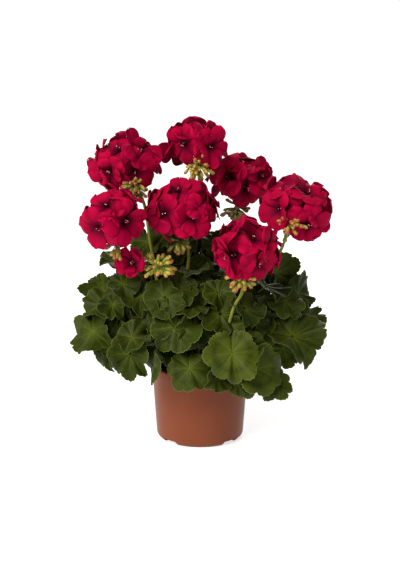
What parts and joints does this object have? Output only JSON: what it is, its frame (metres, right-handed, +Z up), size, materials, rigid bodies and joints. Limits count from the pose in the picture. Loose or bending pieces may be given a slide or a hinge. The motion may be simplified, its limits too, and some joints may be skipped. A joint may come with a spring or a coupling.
{
  "type": "potted geranium",
  "caption": "Bushy zonal geranium with crimson flower heads on tall stalks and round scalloped leaves, in a terracotta-coloured plastic pot.",
  "frame": {"origin": "centre of the pot's foot, on the surface that the pot stands on", "axes": "+Z up, -Y the plant's front, +X its right-hand side as seen from the front"},
  "size_m": [0.3087, 0.2604, 0.3813],
  "materials": {
    "pot": "smooth terracotta-coloured plastic with a soft sheen",
    "soil": "dark crumbly peat potting mix",
    "stem": "green-brown semi-woody stem",
    "leaf": "softly hairy mid-green leaf with paler veins",
    "stalk": "smooth olive-green stalk",
    "petal": "velvety crimson petals"
  },
  "bodies": {
    "root": {"pot": "pot", "potting_soil": "soil", "main_stem": "stem", "leaf_01": "leaf", "leaf_02": "leaf", "leaf_03": "leaf", "leaf_04": "leaf", "leaf_05": "leaf", "leaf_06": "leaf", "leaf_07": "leaf", "leaf_08": "leaf", "leaf_09": "leaf", "leaf_10": "leaf", "leaf_11": "leaf", "leaf_12": "leaf", "leaf_13": "leaf", "leaf_14": "leaf", "leaf_15": "leaf", "leaf_16": "leaf", "leaf_17": "leaf", "leaf_18": "leaf", "leaf_19": "leaf", "leaf_20": "leaf", "leaf_21": "leaf", "leaf_22": "leaf", "leaf_23": "leaf", "leaf_24": "leaf", "leaf_25": "leaf", "leaf_26": "leaf", "leaf_27": "leaf", "leaf_28": "leaf", "leaf_29": "leaf", "leaf_30": "leaf", "leaf_31": "leaf", "leaf_32": "leaf", "leaf_33": "leaf", "leaf_34": "leaf", "leaf_35": "leaf", "leaf_36": "leaf", "leaf_37": "leaf", "leaf_38": "leaf", "leaf_39": "leaf", "leaf_40": "leaf", "leaf_41": "leaf", "stalk_a": "stalk", "stalk_b": "stalk", "stalk_c": "stalk", "stalk_d": "stalk", "stalk_e": "stalk", "stalk_f": "stalk", "stalk_g": "stalk", "stalk_h": "stalk", "head_a": "petal", "head_b": "petal", "head_c": "petal", "head_d": "petal", "head_e": "petal", "head_f": "petal", "head_g": "petal", "head_h": "petal"}
  },
  "joints": []
}
